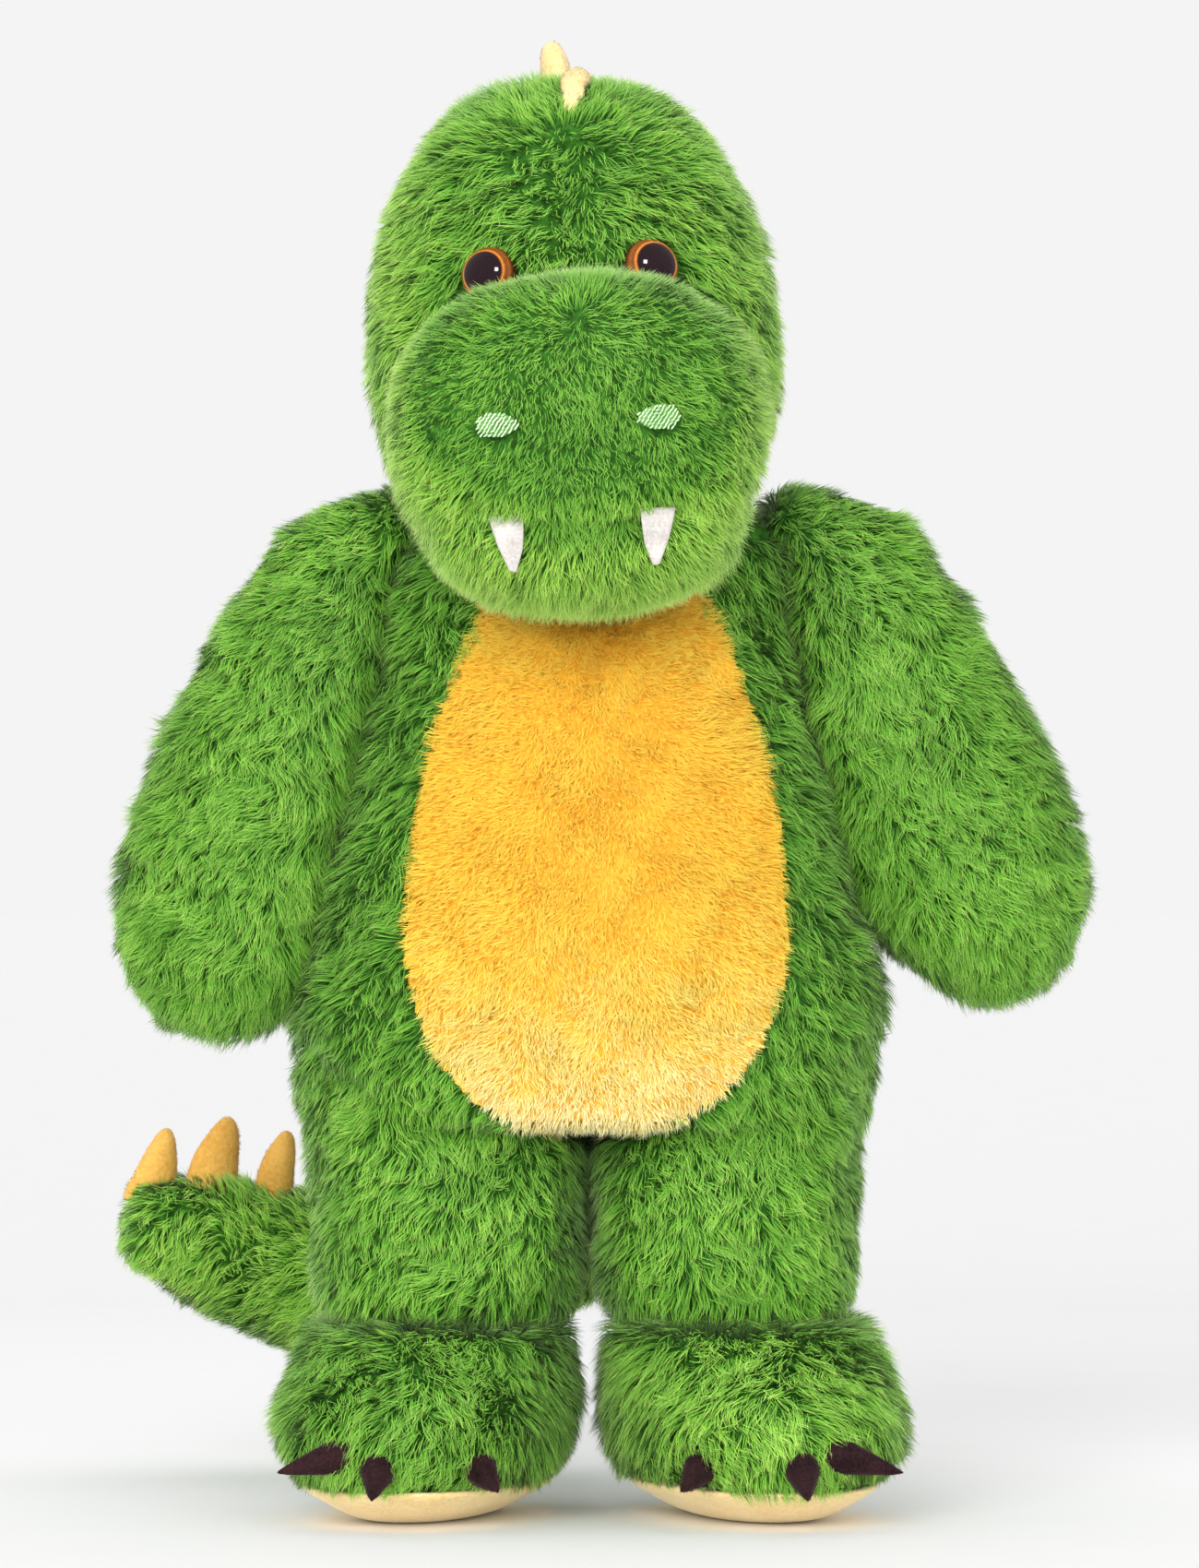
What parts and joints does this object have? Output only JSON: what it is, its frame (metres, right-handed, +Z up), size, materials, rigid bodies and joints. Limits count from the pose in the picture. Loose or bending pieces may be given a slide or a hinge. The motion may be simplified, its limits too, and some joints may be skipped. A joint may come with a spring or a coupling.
{
  "type": "stuffed dinosaur",
  "caption": "Standing stuffed dinosaur with a long muzzle, belly panel, mitten arms, clawed feet, crest spikes and a curled tail; head, arms, legs and tail move.",
  "frame": {"origin": "on the floor, under the middle of the toy's box", "axes": "+Z up, -Y the way the toy faces, +X to the right as seen from the front"},
  "size_m": [0.2592, 0.2494, 0.3817],
  "materials": {
    "green_plush": "long-pile plush, 12 mm, combed down",
    "belly_plush": "medium-pile plush, 8 mm, fading from orange to pale yellow",
    "velour": "short-pile velour",
    "fill": "polyester fibre fill",
    "beads": "woven bag of plastic beads",
    "eye": "polished, amber ring around a near-black pupil",
    "nylon": "moulded nylon",
    "nostril_thread": "satin-stitch embroidery thread",
    "white_felt": "pressed felt",
    "dark_felt": "short-pile felt"
  },
  "bodies": {
    "torso": {"body_cover": "green_plush", "belly_panel": "belly_plush", "body_stuffing": "fill", "back_spike_1": "velour", "back_spike_2": "velour", "back_spike_3": "velour", "back_spike_4": "velour"},
    "head": {"head_cover": "green_plush", "muzzle_cover": "green_plush", "chin_cover": "green_plush", "head_stuffing": "fill", "eye_left": "eye", "eye_right": "eye", "eye_washer_left": "nylon", "eye_washer_right": "nylon", "nostril_left": "nostril_thread", "nostril_right": "nostril_thread", "tooth_left": "white_felt", "tooth_right": "white_felt", "head_spike_1": "velour", "head_spike_2": "velour", "head_spike_3": "velour", "head_spike_4": "velour"},
    "arm_left": {"arm_cover_left": "green_plush", "arm_stuffing_left": "fill"},
    "arm_right": {"arm_cover_right": "green_plush", "arm_stuffing_right": "fill"},
    "leg_left": {"leg_cover_left": "green_plush", "leg_stuffing_left": "fill", "foot_cover_left": "green_plush", "foot_stuffing_left": "fill", "foot_bean_bag_left": "beads", "sole_left": "velour", "claw_left_1": "dark_felt", "claw_left_2": "dark_felt", "claw_left_3": "dark_felt"},
    "leg_right": {"leg_cover_right": "green_plush", "leg_stuffing_right": "fill", "foot_cover_right": "green_plush", "foot_stuffing_right": "fill", "foot_bean_bag_right": "beads", "sole_right": "velour", "claw_right_1": "dark_felt", "claw_right_2": "dark_felt", "claw_right_3": "dark_felt"},
    "tail": {"tail_cover": "green_plush", "tail_stuffing": "fill", "tail_spike_1": "velour", "tail_spike_2": "velour", "tail_spike_3": "velour", "tail_spike_4": "velour", "tail_spike_5": "velour"}
  },
  "joints": [
    {"name": "neck_turn", "type": "hinge", "parent": "torso", "child": "head", "pos_m": [-0.00365, -0.01713, 0.257], "axis": [0, 0, 1], "range_deg": [-20, 20], "stiffness_Nm_per_rad": 0.4},
    {"name": "shoulder_left", "type": "hinge", "parent": "torso", "child": "arm_left", "pos_m": [-0.05015, -0.01713, 0.238], "axis": [-0.9744, 0, 0.225], "range_deg": [-30, 50], "stiffness_Nm_per_rad": 0.15},
    {"name": "shoulder_right", "type": "hinge", "parent": "torso", "child": "arm_right", "pos_m": [0.04985, -0.01713, 0.238], "axis": [-0.9744, 0, -0.225], "range_deg": [-30, 50], "stiffness_Nm_per_rad": 0.15},
    {"name": "hip_left", "type": "hinge", "parent": "torso", "child": "leg_left", "pos_m": [-0.03745, -0.02213, 0.092], "axis": [-1, 0, 0], "range_deg": [-5, 35], "stiffness_Nm_per_rad": 4},
    {"name": "hip_right", "type": "hinge", "parent": "torso", "child": "leg_right", "pos_m": [0.03715, -0.02213, 0.092], "axis": [-1, 0, 0], "range_deg": [-5, 35], "stiffness_Nm_per_rad": 4},
    {"name": "tail_lift", "type": "hinge", "parent": "torso", "child": "tail", "pos_m": [-0.00015, 0.04287, 0.112], "axis": [1, 0, 0], "range_deg": [0, 30], "stiffness_Nm_per_rad": 0.8}
  ]
}
